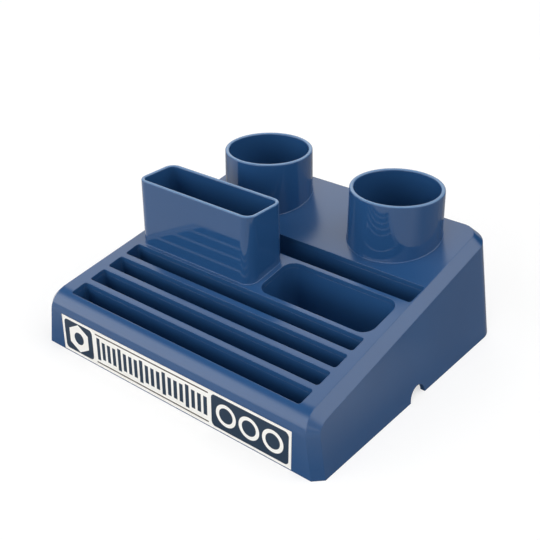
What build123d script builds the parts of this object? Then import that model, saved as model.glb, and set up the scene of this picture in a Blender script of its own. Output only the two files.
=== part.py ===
from build123d import *
import math
import os

os.makedirs("parts", exist_ok=True)

# All sizes are in millimetres. X runs to the right, Y from front to rear, Z up from the floor.
# Y is counted from the front bottom edge here and moved to the middle of the box at the end.

# Housing: hollow wedge with leaning side walls, open underneath
body_width = 180.0
deck_front_height = 29.7
deck_slope = 9.8
side_lean = 9.2
front_lean = 1.3
front_round = 11.0
rear_corner_round = 13.2
edge_bevel = 4.4
wall = 2.5

# Wells that hang under the deck
well_wall = 1.0
well_floor = 2.0
well_bottom = 4.0
well_gap = 0.2

# Long slots at the front, all of one size
first_slot_front = 7.2
slot_width = 9.6
slot_rib = 3.0
slot_count = 4
slot_corner = 1.5
slots_from_left = 17.3
slots_from_right = 16.3

# Rounded pocket, on the right of the middle row
pocket_depth = 26.8
pocket_length = 65.7
pocket_corner = 6.5

# Tall holder, on the left of the middle row, sized where it meets the deck
holder_top = 76.6
holder_wall = 2.0
holder_corner = 6.4
holder_foot = 0.55
holder_to_slots = 0.9
holder_to_pocket = 2.3

# Long narrow slot behind the middle row
trough_width = 13.1
trough_corner = 1.5
trough_from_left = 13.0
trough_from_right = 12.4

# Round cups at the rear, sized where they meet the deck, and the flat deck before and behind them
cup_outer = 49.1
cup_wall = 2.2
cup_top = 78.5
cup_foot = 0.6
deck_before_cups = 3.6
deck_behind_cups = 0.3
left_cup_from_left = 48.2
right_cup_from_right = 48.6

# Cups and holder: draft above the deck, fit in the deck, lip of the collar and rounding of the rim
moulding_draft = 0.9
hole_clearance = 0.15
collar_lip = 0.2
rim_round = 0.8

# Notches in the bottom edge of both side walls
notch_from_front = 78.3
notch_radius = 6.3

# Label let into the front wall
label_from_left = 15.9
label_from_right = 15.3
label_bottom = 0.5
label_height = 20.4
label_thickness = 0.4
label_clearance = 0.1

# How near counts as touching when edges are picked, and a length past every face of the part
touching = 0.05
tall = 200.0
cavity_overrun = 1.0

# Slopes that follow from the angles
slope = math.tan(math.radians(deck_slope))
lean = math.tan(math.radians(side_lean))
front_tilt = math.tan(math.radians(front_lean))
draft = math.tan(math.radians(moulding_draft))

# Places across the width, counted from the middle
half_width = body_width / 2
slot_left = -half_width + slots_from_left
slot_right = half_width - slots_from_right
pocket_right = slot_right
pocket_left = pocket_right - pocket_length
holder_left = slot_left
holder_right = pocket_left - holder_to_pocket - holder_foot
trough_left = -half_width + trough_from_left
trough_right = half_width - trough_from_right
left_cup_middle = -half_width + left_cup_from_left
right_cup_middle = half_width - right_cup_from_right
label_left = -half_width + label_from_left
label_right = half_width - label_from_right

# Places along the depth, one row behind the other
slot_fronts = [first_slot_front + (slot_width + slot_rib) * i for i in range(slot_count)]
slots_rear = slot_fronts[-1] + slot_width
pocket_front = slots_rear + 2 * well_wall + well_gap
pocket_rear = pocket_front + pocket_depth
holder_front = slots_rear + holder_to_slots + holder_foot
holder_rear = pocket_rear
trough_front = pocket_rear + 2 * well_wall + well_gap
trough_rear = trough_front + trough_width
cups_front = trough_rear + deck_before_cups + cup_foot
cups_from_front = cups_front + cup_outer / 2
flat_deck_rear = cups_front + cup_outer + deck_behind_cups
body_depth = flat_deck_rear + edge_bevel


def deck_height(y):
    """Height of the deck at a distance from the front edge."""
    return deck_front_height + slope * y


def underside(y):
    """Height of the underside of the deck at a distance from the front edge."""
    return deck_height(y) - wall / math.cos(math.radians(deck_slope))


def narrowing(front, top):
    """How far a side of a cup or of the holder draws in between the deck and its top."""
    return (top - underside(front)) * draft


def wedge(inset, below):
    """Wedge with leaning sides, drawn a set distance inside the outer skin."""
    drop = inset / math.cos(math.radians(deck_slope))
    shift = inset / math.cos(math.radians(front_lean))
    rear = body_depth - inset
    base = -below
    nose_z = (deck_front_height - drop + slope * shift) / (1 - slope * front_tilt)
    nose_y = shift + nose_z * front_tilt
    side = make_face(
        Polyline(
            (shift + base * front_tilt, base),
            (nose_y, nose_z),
            (rear, deck_height(rear) - drop),
            (rear, base),
            close=True,
        )
    )
    nose = side.vertices().sort_by_distance((nose_y, nose_z, 0))[0]
    side = fillet(nose, front_round - inset)
    block = extrude(Plane.YZ * side, amount=body_width, both=True)
    half = half_width - inset / math.cos(math.radians(side_lean))
    end_view = Polygon(
        (-half - below * lean, base),
        (half + below * lean, base),
        (half - tall * lean, tall),
        (-half + tall * lean, tall),
        align=None,
    )
    block = block & extrude(Plane.XZ * end_view, amount=2 * body_depth, both=True)
    return bevel_rim(round_uprights(block, inset), inset, base)


def round_uprights(block, inset):
    """Round the two upright corners at the rear."""
    uprights = []
    for edge in block.edges():
        box = edge.bounding_box()
        if box.min.Y > body_depth - inset - touching and box.size.Z > deck_front_height / 2:
            uprights.append(edge)
    return fillet(uprights, rear_corner_round - inset)


def bevel_rim(block, inset, base):
    """Bevel the front corners, the sides of the deck and its rear edge in one run."""
    rim = []
    for edge in block.edges():
        box = edge.bounding_box()
        across = box.size.Y < touching and box.size.Z < touching
        on_floor = box.max.Z < base + touching
        nose_line = across and box.max.Y < body_depth / 2
        rear_upright = box.min.Z < base + touching and box.min.Y > body_depth / 2
        if not (on_floor or nose_line or rear_upright):
            rim.append(edge)
    return chamfer(rim, edge_bevel - inset * (2 - math.sqrt(2)))


def rounded_block(left, right, front, rear, corner, bottom, top):
    """Upright block with four rounded corners."""
    outline = RectangleRounded(right - left, rear - front, corner)
    middle = Pos((left + right) / 2, (front + rear) / 2, bottom)
    return middle * extrude(outline, amount=top - bottom)


def slot_space(front, bottom, top):
    """The space inside one long front slot."""
    rear = front + slot_width
    return rounded_block(slot_left, slot_right, front, rear, slot_corner, bottom, top)


def pocket_space(bottom, top, grow=0.0):
    """The space inside the rounded pocket, or its well when it is grown."""
    return rounded_block(
        pocket_left - grow,
        pocket_right + grow,
        pocket_front - grow,
        pocket_rear + grow,
        pocket_corner + grow,
        bottom,
        top,
    )


def trough_space(bottom, top, grow=0.0):
    """The space inside the rear slot, or its well when it is grown."""
    return rounded_block(
        trough_left - grow,
        trough_right + grow,
        trough_front - grow,
        trough_rear + grow,
        trough_corner + grow,
        bottom,
        top,
    )


def holder_outline(grow=0.0):
    """Outline of the tall holder at the deck."""
    width = holder_right - holder_left + 2 * grow
    depth = holder_rear - holder_front + 2 * grow
    middle = Pos((holder_left + holder_right) / 2, (holder_front + holder_rear) / 2)
    return middle * RectangleRounded(width, depth, holder_corner + grow)


def cup_outline(middle, grow=0.0):
    """Outline at the deck of the cup whose middle is at a distance from the middle of the body."""
    return Pos(middle, cups_from_front) * Circle(cup_outer / 2 + grow)


def upright(outline, bottom, top):
    """Block with upright sides on an outline."""
    return Pos(0, 0, bottom) * extrude(outline, amount=top - bottom)


def drafted(outline, front, top):
    """Block from the floor of the wells to a height, which narrows by the draft above the deck."""
    joint = underside(front)
    upper = Pos(0, 0, joint) * extrude(outline, amount=top - joint, taper=moulding_draft)
    return upright(outline, well_bottom, joint) + upper


def below(height, rear):
    """Everything under a plane a set height above the deck, from the front as far as rear."""
    side = make_face(
        Polyline(
            (-tall, -tall),
            (-tall, deck_height(-tall) + height),
            (rear, deck_height(rear) + height),
            (rear, -tall),
            close=True,
        )
    )
    return extrude(Plane.YZ * side, amount=body_width, both=True)


def standing_tube(outside, inside, grown, foot):
    """Tube with a floor that passes through the deck and rests on it by a hollow-curved collar."""
    under_deck = below(0.0, tall)
    pad = (grown & below(collar_lip, tall)) - under_deck
    body = (outside - under_deck) + pad
    seam = []
    for edge in body.edges():
        above_deck = edge.center().Z - deck_height(edge.center().Y)
        if abs(above_deck - collar_lip) < touching and edge.distance_to(outside) < touching:
            seam.append(edge)
    sharpest_corner = math.radians(90 - deck_slope)
    reach = foot - collar_lip
    body = fillet(seam, reach * math.tan(sharpest_corner / 2)) & below(tall, flat_deck_rear)
    body = body - inside
    body = fillet(body.faces().sort_by(Axis.Z)[-1].edges(), rim_round)
    return body + ((outside & under_deck) - inside)


def make_holder():
    """Tall rectangular holder on the left."""
    outside = drafted(holder_outline(), holder_front, holder_top)
    inner = holder_outline(-holder_wall - narrowing(holder_front, holder_top))
    inside = upright(inner, well_bottom + well_floor, tall)
    grown = upright(holder_outline(holder_foot), well_bottom, holder_top)
    return standing_tube(outside, inside, grown, holder_foot)


def make_cup(middle):
    """Round cup at the rear."""
    outside = drafted(cup_outline(middle), cups_front, cup_top)
    inner = cup_outline(middle, -cup_wall - narrowing(cups_front, cup_top))
    inside = upright(inner, well_bottom + well_floor, tall)
    grown = upright(cup_outline(middle, cup_foot), well_bottom, cup_top)
    return standing_tube(outside, inside, grown, cup_foot)


def label_panel(grow):
    """Label area on the front wall, grown all round for its recess."""
    height = label_height + 2 * grow
    width = label_right - label_left + 2 * grow
    panel = Box(width, 2 * label_thickness, height, align=(Align.CENTER, Align.CENTER, Align.MIN))
    panel = Pos((label_left + label_right) / 2, 0, label_bottom - grow) * panel
    return Rot(-front_lean, 0, 0) * panel


def make_housing(outer, cavity):
    """Hollow shell with the openings in its deck, the notches and the label recess."""
    shell = outer - cavity
    for front in slot_fronts:
        shell = shell - slot_space(front, well_bottom, tall)
    shell = shell - pocket_space(well_bottom, tall)
    shell = shell - trough_space(well_bottom, tall)
    shell = shell - drafted(holder_outline(hole_clearance), holder_front, tall)
    for middle in (left_cup_middle, right_cup_middle):
        shell = shell - drafted(cup_outline(middle, hole_clearance), cups_front, tall)
    notch = extrude(Plane.YZ * Circle(notch_radius), amount=body_width, both=True)
    shell = shell - Pos(0, notch_from_front, 0) * notch
    return shell - label_panel(label_clearance)


def make_slot_tray(cavity):
    """Well of the long front slots, with a rib between each two."""
    left = slot_left - well_wall
    right = slot_right + well_wall
    corner = slot_corner + well_wall
    front = first_slot_front - well_wall
    rear = slots_rear + well_wall
    tray = rounded_block(left, right, front, rear, corner, well_bottom, tall)
    tray = tray & cavity
    for front in slot_fronts:
        tray = tray - slot_space(front, well_bottom + well_floor, tall)
    return tray


def make_well(space, cavity):
    """Thin-walled well under one opening, closed at its floor."""
    outside = space(well_bottom, tall, well_wall) & cavity
    return outside - space(well_bottom + well_floor, tall)


def make_label(outer):
    """Thin label that lies flush with the front wall."""
    return label_panel(0.0) & outer


def save(shape, name):
    """Move a piece to the middle of the box and write it."""
    placed = Pos(0, -body_depth / 2, 0) * shape
    export_step(placed.solid(), f"parts/{name}.step")


outer = wedge(0.0, 0.0)
cavity = wedge(wall, cavity_overrun)
save(make_housing(outer, cavity), "housing")
save(make_slot_tray(cavity), "slot_tray")
save(make_well(pocket_space, cavity), "pocket_well")
save(make_well(trough_space, cavity), "rear_trough")
save(make_holder(), "tall_holder")
save(make_cup(left_cup_middle), "left_cup")
save(make_cup(right_cup_middle), "right_cup")
save(make_label(outer), "front_label")
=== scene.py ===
import math

import bpy
from mathutils import Matrix, Vector


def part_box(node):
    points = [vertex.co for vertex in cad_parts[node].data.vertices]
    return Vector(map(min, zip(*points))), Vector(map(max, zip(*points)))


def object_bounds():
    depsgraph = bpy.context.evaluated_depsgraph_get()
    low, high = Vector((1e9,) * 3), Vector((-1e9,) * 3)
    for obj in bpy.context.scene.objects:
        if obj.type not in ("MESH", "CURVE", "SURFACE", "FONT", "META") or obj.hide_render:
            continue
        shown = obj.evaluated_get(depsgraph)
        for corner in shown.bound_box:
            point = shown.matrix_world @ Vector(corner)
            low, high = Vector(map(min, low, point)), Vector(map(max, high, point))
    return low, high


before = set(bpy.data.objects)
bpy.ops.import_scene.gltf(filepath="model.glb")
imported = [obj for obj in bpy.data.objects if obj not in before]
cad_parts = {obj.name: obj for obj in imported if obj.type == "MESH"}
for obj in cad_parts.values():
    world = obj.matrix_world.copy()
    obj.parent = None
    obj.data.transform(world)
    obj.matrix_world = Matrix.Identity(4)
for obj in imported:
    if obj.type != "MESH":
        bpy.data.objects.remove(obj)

# Lengths are in metres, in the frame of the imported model, unless a comment says otherwise
MM = 0.001
cad_box = [list(corner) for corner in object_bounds()]
low, high = (Vector(corner) for corner in cad_box)

# Camera: where it stands, seen from a point inside the organiser. Angles are in degrees, from the
# front towards the right and from the floor upwards
VIEW_AZIMUTH = 39.774
VIEW_ELEVATION = 29.532
VIEW_ROLL = -0.637
VIEW_DISTANCE = 467.8 * MM
VIEW_TARGET = Vector((2.1 * MM, low.y + 75.0 * MM, 39.7 * MM))

# Lens: focal length and small shifts in pixels of a picture this wide, and a sensor in millimetres
FRAME_PIXELS = 540
FOCAL_PIXELS = 924.8
NUDGE_RIGHT_PIXELS = 0.4
NUDGE_DOWN_PIXELS = 0.85
SENSOR_WIDTH = 36.0

# Colours: linear red, green and blue, and alpha
WHITE = (1.0, 1.0, 1.0, 1.0)
NAVY = (0.0210, 0.0795, 0.209, 1.0)
NAVY_DEEP = (0.0187, 0.0710, 0.190, 1.0)
# Painted highlight: pale blue painted on the top of the rims of the cups and the holder
PAINTED_RIM_HIGHLIGHT = (0.085, 0.195, 0.370, 1.0)
CREAM = (0.98, 0.97, 0.94, 1.0)
CREAM_AGED = (0.95, 0.93, 0.88, 1.0)
INK = (0.020, 0.040, 0.072, 1.0)
RULE_BROWN = (0.060, 0.044, 0.036, 1.0)
FLOOR_GREY = (0.36, 0.36, 0.36, 1.0)

# Plastic's gloss: walls keep it, and faces that tools are laid on are rubbed duller, between these
# two upward parts of the surface's normal
ROUGH_LOW = 0.03
ROUGH_HIGH = 0.06
RUBBED_ROUGHNESS = 0.17
RUBBED_FROM = 0.5
RUBBED_TO = 0.95
PLASTIC_IOR = 1.44

# Plastic's marks, as noise scales for one metre, one for each axis where they are drawn out, and
# turns in radians. Scratches show only where their noise is high
FLOW_SCALES = (9.0, 22.0, 14.0)
FLOW_TURN = (0.0, 0.0, 0.3)
HANDLING_SCALE = 40.0
SCRATCH_SCALES = (55.0, 1100.0, 55.0)
SCRATCH_TURN = (0.2, 0.0, 0.5)
SCRATCH_FROM = 0.60
SCRATCH_TO = 0.72
SCRATCH_ROUGHNESS = 0.03
PEEL_SCALE = 420.0

# Plastic's edges: a small softness or, on what stands higher than the deck, a paler rim, which is a
# painted highlight.
# The painted highlight is full down to the full depth, and fades out by the rim's depth
EDGE_SOFTNESS = 0.5 * MM
EDGE_SAMPLES = 6
RIM_ABOVE_DECK = 1.0 * MM
RIM_FULL_DEPTH = 0.18 * MM
RIM_DEPTH = 0.45 * MM

# Fine relief of the plastic and the label: how strongly it shows, and its depth
PEEL_STRENGTH = 0.05
LABEL_STRENGTH = 0.3
RELIEF_DEPTH = 0.02 * MM

# Label film, with noise scales for one metre, and its grain's share beside the raised ink
LABEL_IOR = 1.3
LABEL_ROUGH_LOW = 0.30
LABEL_ROUGH_HIGH = 0.42
SHEEN_SCALE = 300.0
AGEING_SCALE = 90.0
GRAIN_SCALE = 2500.0
GRAIN_SHARE = 0.3

# Label layout, in millimetres from the label's left and bottom edges: plates as left, bottom, right
# and top, and both ends of the field between them
EMBLEM_PLATE = (1.6, 1.5, 22.6, 18.9)
NAME_PLATE = (102.8, 1.4, 147.4, 19.0)
MIDDLE_FIELD = (25.0, 101.0)

# Label print
PRINT_SOFTNESS = 0.06 * MM
PLATE_CORNER = 2.4 * MM
NUT_HALF_WIDTH = 7.0 * MM
NUT_HOLE_RADIUS = 3.5 * MM
RING_SPACING = 13.5 * MM
RING_RADIUS = 5.0 * MM
RING_HALF_WIDTH = 0.95 * MM
BAR_PITCH = 3.8 * MM
BARS_IN_GROUP = 4
BAR_HALF_WIDTH = 1.15 * MM
BAR_HALF_HEIGHT = 5.1 * MM
TALL_BAR_EXTRA = 1.3 * MM
RULE_WIDTH = 0.75 * MM
RULE_FROM_EDGE = 2.1 * MM

# Floor, and how its glow shows in reflections, with painted shade near the organiser and at the
# rear: around the organiser none of it up to the start and all of it from the full distance on, and
# along the depth all of it in front and none at the rear
FLOOR_REACH = 3.0
FLOOR_ROUGHNESS = 0.9
FLOOR_GLOW = 0.65
GLEAM_START = 8 * MM
GLEAM_FULL = 45 * MM
GLEAM_FRONT = -15 * MM
GLEAM_REAR = 60 * MM

# Surroundings: light on the object, and soft panels as azimuth, elevation, outer and inner angle
# of the fade in degrees, and added brightness, which is below 0 for a dark flag
WORLD_LIGHT = 0.19
SOFT_PANELS = (
    (-48.0, 40.0, 26.0, 6.0, 1.2),
    (66.0, 44.0, 40.0, 10.0, 2.0),
    (-139.0, 20.5, 32.0, 11.0, 2.4),
    (178.0, 7.0, 30.0, 14.0, 2.8),
    (-40.0, 29.5, 9.0, 3.0, 1.1),
    (-99.0, 56.0, 24.0, 8.0, -0.8),
    (12.0, 16.0, 20.0, 10.0, -1.0),
)

# Lamps: name, place, width, depth and power in watts
LAMPS = (
    ("top_light", (0.10, -0.10, 1.20), 0.7, 0.7, 3.2),
    ("front_fill", (0.62, -0.98, 0.60), 1.2, 0.8, 1.7),
)

# Noise lies mostly between these two values
NOISE_LOW = 0.3
NOISE_HIGH = 0.7


class Field:
    """A number that varies over a surface, built from shader nodes."""

    def __init__(self, tree, socket):
        self.tree = tree
        self.socket = socket

    def feed(self, target):
        self.tree.links.new(self.socket, target)

    def apply(self, operation, *others):
        node = self.tree.nodes.new("ShaderNodeMath")
        node.operation = operation
        self.feed(node.inputs[0])
        for index, other in enumerate(others, start=1):
            if isinstance(other, Field):
                other.feed(node.inputs[index])
            else:
                node.inputs[index].default_value = other
        return Field(self.tree, node.outputs[0])

    def __add__(self, other):
        return self.apply("ADD", other)

    def __sub__(self, other):
        return self.apply("SUBTRACT", other)

    def __mul__(self, other):
        return self.apply("MULTIPLY", other)

    def absolute(self):
        return self.apply("ABSOLUTE")

    def above(self, other):
        return self.apply("MAXIMUM", other)

    def below(self, other):
        return self.apply("MINIMUM", other)

    def length_with(self, other):
        return (self * self + other * other).apply("SQRT")

    def remap(self, out_low, out_high, in_low=NOISE_LOW, in_high=NOISE_HIGH, smooth=False):
        """Values from in_low to in_high become out_low to out_high, and others stop at those."""
        node = self.tree.nodes.new("ShaderNodeMapRange")
        if smooth:
            node.interpolation_type = "SMOOTHSTEP"
        self.feed(node.inputs["Value"])
        node.inputs["From Min"].default_value = in_low
        node.inputs["From Max"].default_value = in_high
        node.inputs["To Min"].default_value = out_low
        node.inputs["To Max"].default_value = out_high
        return Field(self.tree, node.outputs["Result"])

    def ink(self):
        """1 inside a shape and 0 outside, from its signed distance, with a slightly soft edge."""
        spread = self.apply("DIVIDE", -PRINT_SOFTNESS) + 0.5
        return spread.above(0.0).below(1.0)


def new_material(name):
    material = bpy.data.materials.new(name)
    material.use_nodes = True
    tree = material.node_tree
    return material, tree, tree.nodes["Principled BSDF"]


def object_place(tree):
    return tree.nodes.new("ShaderNodeTexCoord").outputs["Object"]


def axes(tree, vector):
    """The three parts of a vector."""
    split = tree.nodes.new("ShaderNodeSeparateXYZ")
    tree.links.new(vector, split.inputs["Vector"])
    return [Field(tree, split.outputs[axis]) for axis in "XYZ"]


def stretched(tree, vector, scales, turn):
    node = tree.nodes.new("ShaderNodeMapping")
    node.inputs["Scale"].default_value = scales
    node.inputs["Rotation"].default_value = turn
    tree.links.new(vector, node.inputs["Vector"])
    return node.outputs["Vector"]


def noise(tree, vector, scale=1.0, detail=2.0):
    node = tree.nodes.new("ShaderNodeTexNoise")
    node.inputs["Scale"].default_value = scale
    node.inputs["Detail"].default_value = detail
    tree.links.new(vector, node.inputs["Vector"])
    return Field(tree, node.outputs["Fac"])


def mix(tree, factor, first, second):
    """The first colour where the factor is 0, and the second where it is 1."""
    node = tree.nodes.new("ShaderNodeMix")
    node.data_type = "RGBA"
    factor.feed(node.inputs["Factor"])
    colour_inputs = [socket for socket in node.inputs if socket.type == "RGBA"]
    for socket, colour in zip(colour_inputs, (first, second)):
        if isinstance(colour, bpy.types.NodeSocket):
            tree.links.new(colour, socket)
        else:
            socket.default_value = colour
    return next(socket for socket in node.outputs if socket.type == "RGBA")


def relief(tree, shader, height, strength, soften=0.0):
    """Fine surface relief, and, where a softening radius is given, edges rounded by that radius."""
    bump = tree.nodes.new("ShaderNodeBump")
    bump.inputs["Strength"].default_value = strength
    bump.inputs["Distance"].default_value = RELIEF_DEPTH
    height.feed(bump.inputs["Height"])
    if soften:
        edges = tree.nodes.new("ShaderNodeBevel")
        edges.samples = EDGE_SAMPLES
        edges.inputs["Radius"].default_value = soften
        tree.links.new(edges.outputs["Normal"], bump.inputs["Normal"])
    tree.links.new(bump.outputs["Normal"], shader.inputs["Normal"])


def plastic_colour(tree, place, rim_top):
    """Navy with faint flow marks, and a painted highlight, paler, on a rim at a given height."""
    flow = noise(tree, stretched(tree, place, FLOW_SCALES, FLOW_TURN), detail=3.0)
    colour = mix(tree, flow.remap(0.0, 1.0), NAVY, NAVY_DEEP)
    if rim_top is None:
        return colour
    upward = axes(tree, place)[2]
    # Painted highlight: the top of the rim is painted pale, down to the rim's depth
    painted_highlight = upward.remap(0.0, 1.0, rim_top - RIM_DEPTH, rim_top - RIM_FULL_DEPTH)
    return mix(tree, painted_highlight, colour, PAINTED_RIM_HIGHLIGHT)


def plastic_roughness(tree, place):
    """Uneven gloss from handling and light scratches, and less gloss on faces that look upward."""
    handling = noise(tree, place, HANDLING_SCALE, detail=4.0).remap(ROUGH_LOW, ROUGH_HIGH)
    scratches = noise(tree, stretched(tree, place, SCRATCH_SCALES, SCRATCH_TURN))
    scratched = scratches.remap(0.0, SCRATCH_ROUGHNESS, SCRATCH_FROM, SCRATCH_TO)
    upward = axes(tree, tree.nodes.new("ShaderNodeNewGeometry").outputs["Normal"])[2]
    rubbed = upward.remap(0.0, RUBBED_ROUGHNESS, RUBBED_FROM, RUBBED_TO)
    return handling + scratched + rubbed


def navy_plastic(name, rim_top=None):
    """Glossy moulded plastic with orange peel, and with either softened edges or a painted
    highlight on its rim.
    """
    material, tree, shader = new_material(name)
    place = object_place(tree)
    tree.links.new(plastic_colour(tree, place, rim_top), shader.inputs["Base Color"])
    plastic_roughness(tree, place).feed(shader.inputs["Roughness"])
    shader.inputs["IOR"].default_value = PLASTIC_IOR
    soften = EDGE_SOFTNESS if rim_top is None else 0.0
    relief(tree, shader, noise(tree, place, PEEL_SCALE), PEEL_STRENGTH, soften)
    return material


def rounded_plate(across, upward, edges):
    """Signed distance to a rectangle with rounded corners."""
    left, bottom, right, top = (edge * MM for edge in edges)
    reach_x = (across - (left + right) / 2).absolute() - ((right - left) / 2 - PLATE_CORNER)
    reach_z = (upward - (bottom + top) / 2).absolute() - ((top - bottom) / 2 - PLATE_CORNER)
    outside = reach_x.above(0.0).length_with(reach_z.above(0.0))
    return outside + reach_x.above(reach_z).below(0.0) - PLATE_CORNER


def from_plate_middle(across, edges):
    """How far to the right of a plate's middle a place lies."""
    left, _, right, _ = edges
    return across - (left + right) / 2 * MM


def hexagon(across, upward, size):
    """Signed distance, near enough for print, to an upright hexagon of a given half width."""
    x = across.absolute()
    z = upward.absolute()
    return x.above(x * 0.5 + z * (math.sqrt(3) / 2)) - size


def emblem_print(across, upward, over_middle):
    """Ink of the left plate, with a nut left bare in it."""
    beside = from_plate_middle(across, EMBLEM_PLATE)
    nut = hexagon(beside, over_middle, NUT_HALF_WIDTH)
    hole = over_middle.length_with(beside) - NUT_HOLE_RADIUS
    nut_face = (nut.ink() - hole.ink()).above(0.0)
    return rounded_plate(across, upward, EMBLEM_PLATE).ink() - nut_face


def ring(across, upward):
    """1 on a ring round the middle, and 0 elsewhere."""
    from_centre = across.length_with(upward)
    return ((from_centre - RING_RADIUS).absolute() - RING_HALF_WIDTH).ink()


def name_print(across, upward, over_middle):
    """Ink of the right plate, with three rings left bare in it."""
    beside = from_plate_middle(across, NAME_PLATE)
    centres = (-RING_SPACING, 0.0, RING_SPACING)
    left, middle, right = (ring(beside - centre, over_middle) for centre in centres)
    return rounded_plate(across, upward, NAME_PLATE).ink() - left.above(middle).above(right)


def middle_field(across):
    """Signed distance to the field between the plates."""
    left, right = (edge * MM for edge in MIDDLE_FIELD)
    return (across - (left + right) / 2).absolute() - (right - left) / 2


def bar_row(across, over_middle):
    """Signed distance to upright bars, of which the first in each group is taller."""
    from_left = across - MIDDLE_FIELD[0] * MM
    in_pitch = from_left.apply("MODULO", BAR_PITCH)
    in_group = from_left.apply("MODULO", BARS_IN_GROUP * BAR_PITCH)
    half_height = in_group.apply("LESS_THAN", BAR_PITCH) * TALL_BAR_EXTRA + BAR_HALF_HEIGHT
    beside = (in_pitch - BAR_PITCH / 2).absolute() - BAR_HALF_WIDTH
    return beside.above(over_middle.absolute() - half_height)


def rule_pair(over_middle, height):
    """Signed distance to the thin rules along the top and the bottom edge."""
    from_rule = (over_middle.absolute() - (height / 2 - RULE_FROM_EDGE)).absolute()
    return from_rule - RULE_WIDTH / 2


def print_label():
    """Cream film with dark plates at both ends, and thin rules and a plain row of bars between."""
    material, tree, shader = new_material("label_print")
    place = object_place(tree)
    corner_low, corner_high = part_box("front_label")
    height = corner_high[2] - corner_low[2]
    x, _, z = axes(tree, place)
    across = x - corner_low[0]
    upward = z - corner_low[2]
    over_middle = upward - height / 2

    emblem = emblem_print(across, upward, over_middle)
    name_plate = name_print(across, upward, over_middle)
    field = middle_field(across)
    bars = bar_row(across, over_middle).above(field).ink()
    rules = rule_pair(over_middle, height).above(field).ink()
    ink = emblem.above(name_plate).above(bars).below(1.0)

    ageing = noise(tree, place, AGEING_SCALE, detail=4.0).remap(0.0, 1.0)
    ruled = mix(tree, rules, mix(tree, ageing, CREAM, CREAM_AGED), RULE_BROWN)
    tree.links.new(mix(tree, ink, ruled, INK), shader.inputs["Base Color"])
    sheen = noise(tree, place, SHEEN_SCALE, detail=3.0)
    sheen.remap(LABEL_ROUGH_LOW, LABEL_ROUGH_HIGH).feed(shader.inputs["Roughness"])
    shader.inputs["IOR"].default_value = LABEL_IOR
    raised = noise(tree, place, GRAIN_SCALE) * GRAIN_SHARE + ink
    relief(tree, shader, raised, LABEL_STRENGTH)
    return material


def dress_nodes():
    """Printed label, plain plastic, and plastic with a painted highlight on the rim of what stands
    above the deck.
    """
    plain = navy_plastic("navy_plastic")
    printed = print_label()
    deck_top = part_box("housing")[1][2]
    for name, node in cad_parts.items():
        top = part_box(name)[1][2]
        material = printed if name == "front_label" else plain
        if top > deck_top + RIM_ABOVE_DECK:
            # These materials carry a painted highlight on the rim
            material = navy_plastic(f"navy_plastic_{name}", top)
        node.data.materials.clear()
        node.data.materials.append(material)


def new_object(name, data):
    """Object with the given data, added to the scene."""
    made = bpy.data.objects.new(name, data)
    bpy.context.scene.collection.objects.link(made)
    return made


def place_camera():
    """Camera at the photograph's viewing angle."""
    azimuth = math.radians(VIEW_AZIMUTH)
    elevation = math.radians(VIEW_ELEVATION)
    level = math.cos(elevation)
    back = Vector((math.sin(azimuth) * level, -math.cos(azimuth) * level, math.sin(elevation)))
    right = Vector((0, 0, 1)).cross(back).normalized()
    up = back.cross(right)
    roll = Matrix.Rotation(math.radians(VIEW_ROLL), 3, back)
    turn = Matrix((roll @ right, roll @ up, back)).transposed().to_4x4()
    data = bpy.data.cameras.new("camera")
    data.sensor_width = SENSOR_WIDTH
    data.lens = FOCAL_PIXELS / FRAME_PIXELS * SENSOR_WIDTH
    data.shift_x = -NUDGE_RIGHT_PIXELS / FRAME_PIXELS
    data.shift_y = NUDGE_DOWN_PIXELS / FRAME_PIXELS
    camera = new_object("camera", data)
    camera.matrix_world = Matrix.Translation(VIEW_TARGET + VIEW_DISTANCE * back) @ turn
    bpy.context.scene.camera = camera


def area_light(name, position, width, depth, power):
    """Soft rectangular lamp that faces the middle of the organiser."""
    data = bpy.data.lights.new(name, "AREA")
    data.shape = "RECTANGLE"
    data.size = width
    data.size_y = depth
    data.energy = power
    light = new_object(name, data)
    light.location = position
    middle = (low + high) / 2
    light.rotation_euler = (middle - Vector(position)).to_track_quat("-Z", "Y").to_euler()


def kinds_of_ray(tree):
    """Two fields: 1 for rays straight from the camera, and 1 for mirrored or transmitted rays."""
    rays = tree.nodes.new("ShaderNodeLightPath")
    camera, glossy, clear = (
        Field(tree, rays.outputs[name])
        for name in ("Is Camera Ray", "Is Glossy Ray", "Is Transmission Ray")
    )
    return camera, glossy.above(clear)


def floor_gleam_with_painted_shade(tree):
    """Share of the floor's glow that reflections show, with painted shade: less near the organiser
    and to the rear.
    """
    x, y, _ = axes(tree, object_place(tree))
    beside = x.absolute() - high.x
    before = y.absolute() - high.y
    away = beside.above(0.0).length_with(before.above(0.0))
    clear = away.remap(0.0, 1.0, GLEAM_START, GLEAM_FULL)
    return clear * y.remap(1.0, 0.0, GLEAM_FRONT, GLEAM_REAR)


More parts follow.
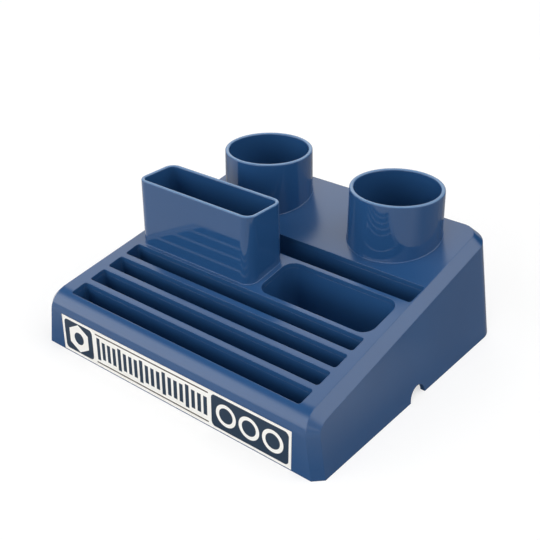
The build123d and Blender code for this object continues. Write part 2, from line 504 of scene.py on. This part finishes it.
def floor_material():
    """Pale grey that glows enough to look white to the camera."""
    material, tree, shader = new_material("floor")
    shader.inputs["Base Color"].default_value = FLOOR_GREY
    shader.inputs["Roughness"].default_value = FLOOR_ROUGHNESS
    shader.inputs["Emission Color"].default_value = WHITE
    camera, mirrored = kinds_of_ray(tree)
    # Painted shade: the glow that reflections show is cut near the organiser and towards the rear
    glow = camera.above(mirrored * floor_gleam_with_painted_shade(tree)) * FLOOR_GLOW
    glow.feed(shader.inputs["Emission Strength"])
    return material


def make_floor():
    """Wide flat floor under the organiser, which takes its shadow."""
    mesh = bpy.data.meshes.new("floor")
    signs = ((-1, -1), (1, -1), (1, 1), (-1, 1))
    corners = [(x * FLOOR_REACH, y * FLOOR_REACH, low.z) for x, y in signs]
    mesh.from_pydata(corners, [], [(0, 1, 2, 3)])
    mesh.materials.append(floor_material())
    floor = new_object("floor", mesh)


def direction(azimuth, elevation):
    """Unit vector: azimuth turns from the rear towards the right, elevation up from the floor."""
    turn, lift = math.radians(azimuth), math.radians(elevation)
    return math.sin(turn) * math.cos(lift), math.cos(turn) * math.cos(lift), math.sin(lift)


def panel_glow(tree, looking, azimuth, elevation, outer, inner, glow):
    """Brightness that a soft panel adds, in full near its middle and faded out around it."""
    facing = tree.nodes.new("ShaderNodeVectorMath")
    facing.operation = "DOT_PRODUCT"
    facing.inputs[1].default_value = direction(azimuth, elevation)
    tree.links.new(looking, facing.inputs[0])
    fade_start, fade_end = (math.cos(math.radians(angle)) for angle in (outer, inner))
    nearness = Field(tree, facing.outputs["Value"])
    return nearness.remap(0.0, glow, fade_start, fade_end, smooth=True)


def light_world():
    """Pale surroundings, white to the camera, with soft panels and dark flags as in a studio."""
    world = bpy.data.worlds.new("world")
    world.use_nodes = True
    tree = world.node_tree
    background = tree.nodes["Background"]
    background.inputs["Color"].default_value = WHITE
    looking = tree.nodes.new("ShaderNodeTexCoord").outputs["Generated"]
    camera, mirrored = kinds_of_ray(tree)
    strength = camera.above(mirrored).remap(WORLD_LIGHT, 1.0, 0.0, 1.0)
    for panel in SOFT_PANELS:
        strength = strength + panel_glow(tree, looking, *panel)
    strength.above(0.0).feed(background.inputs["Strength"])
    bpy.context.scene.world = world


dress_nodes()
place_camera()
light_world()
make_floor()
for lamp in LAMPS:
    area_light(*lamp)
bpy.context.scene.view_settings.view_transform = "Standard"
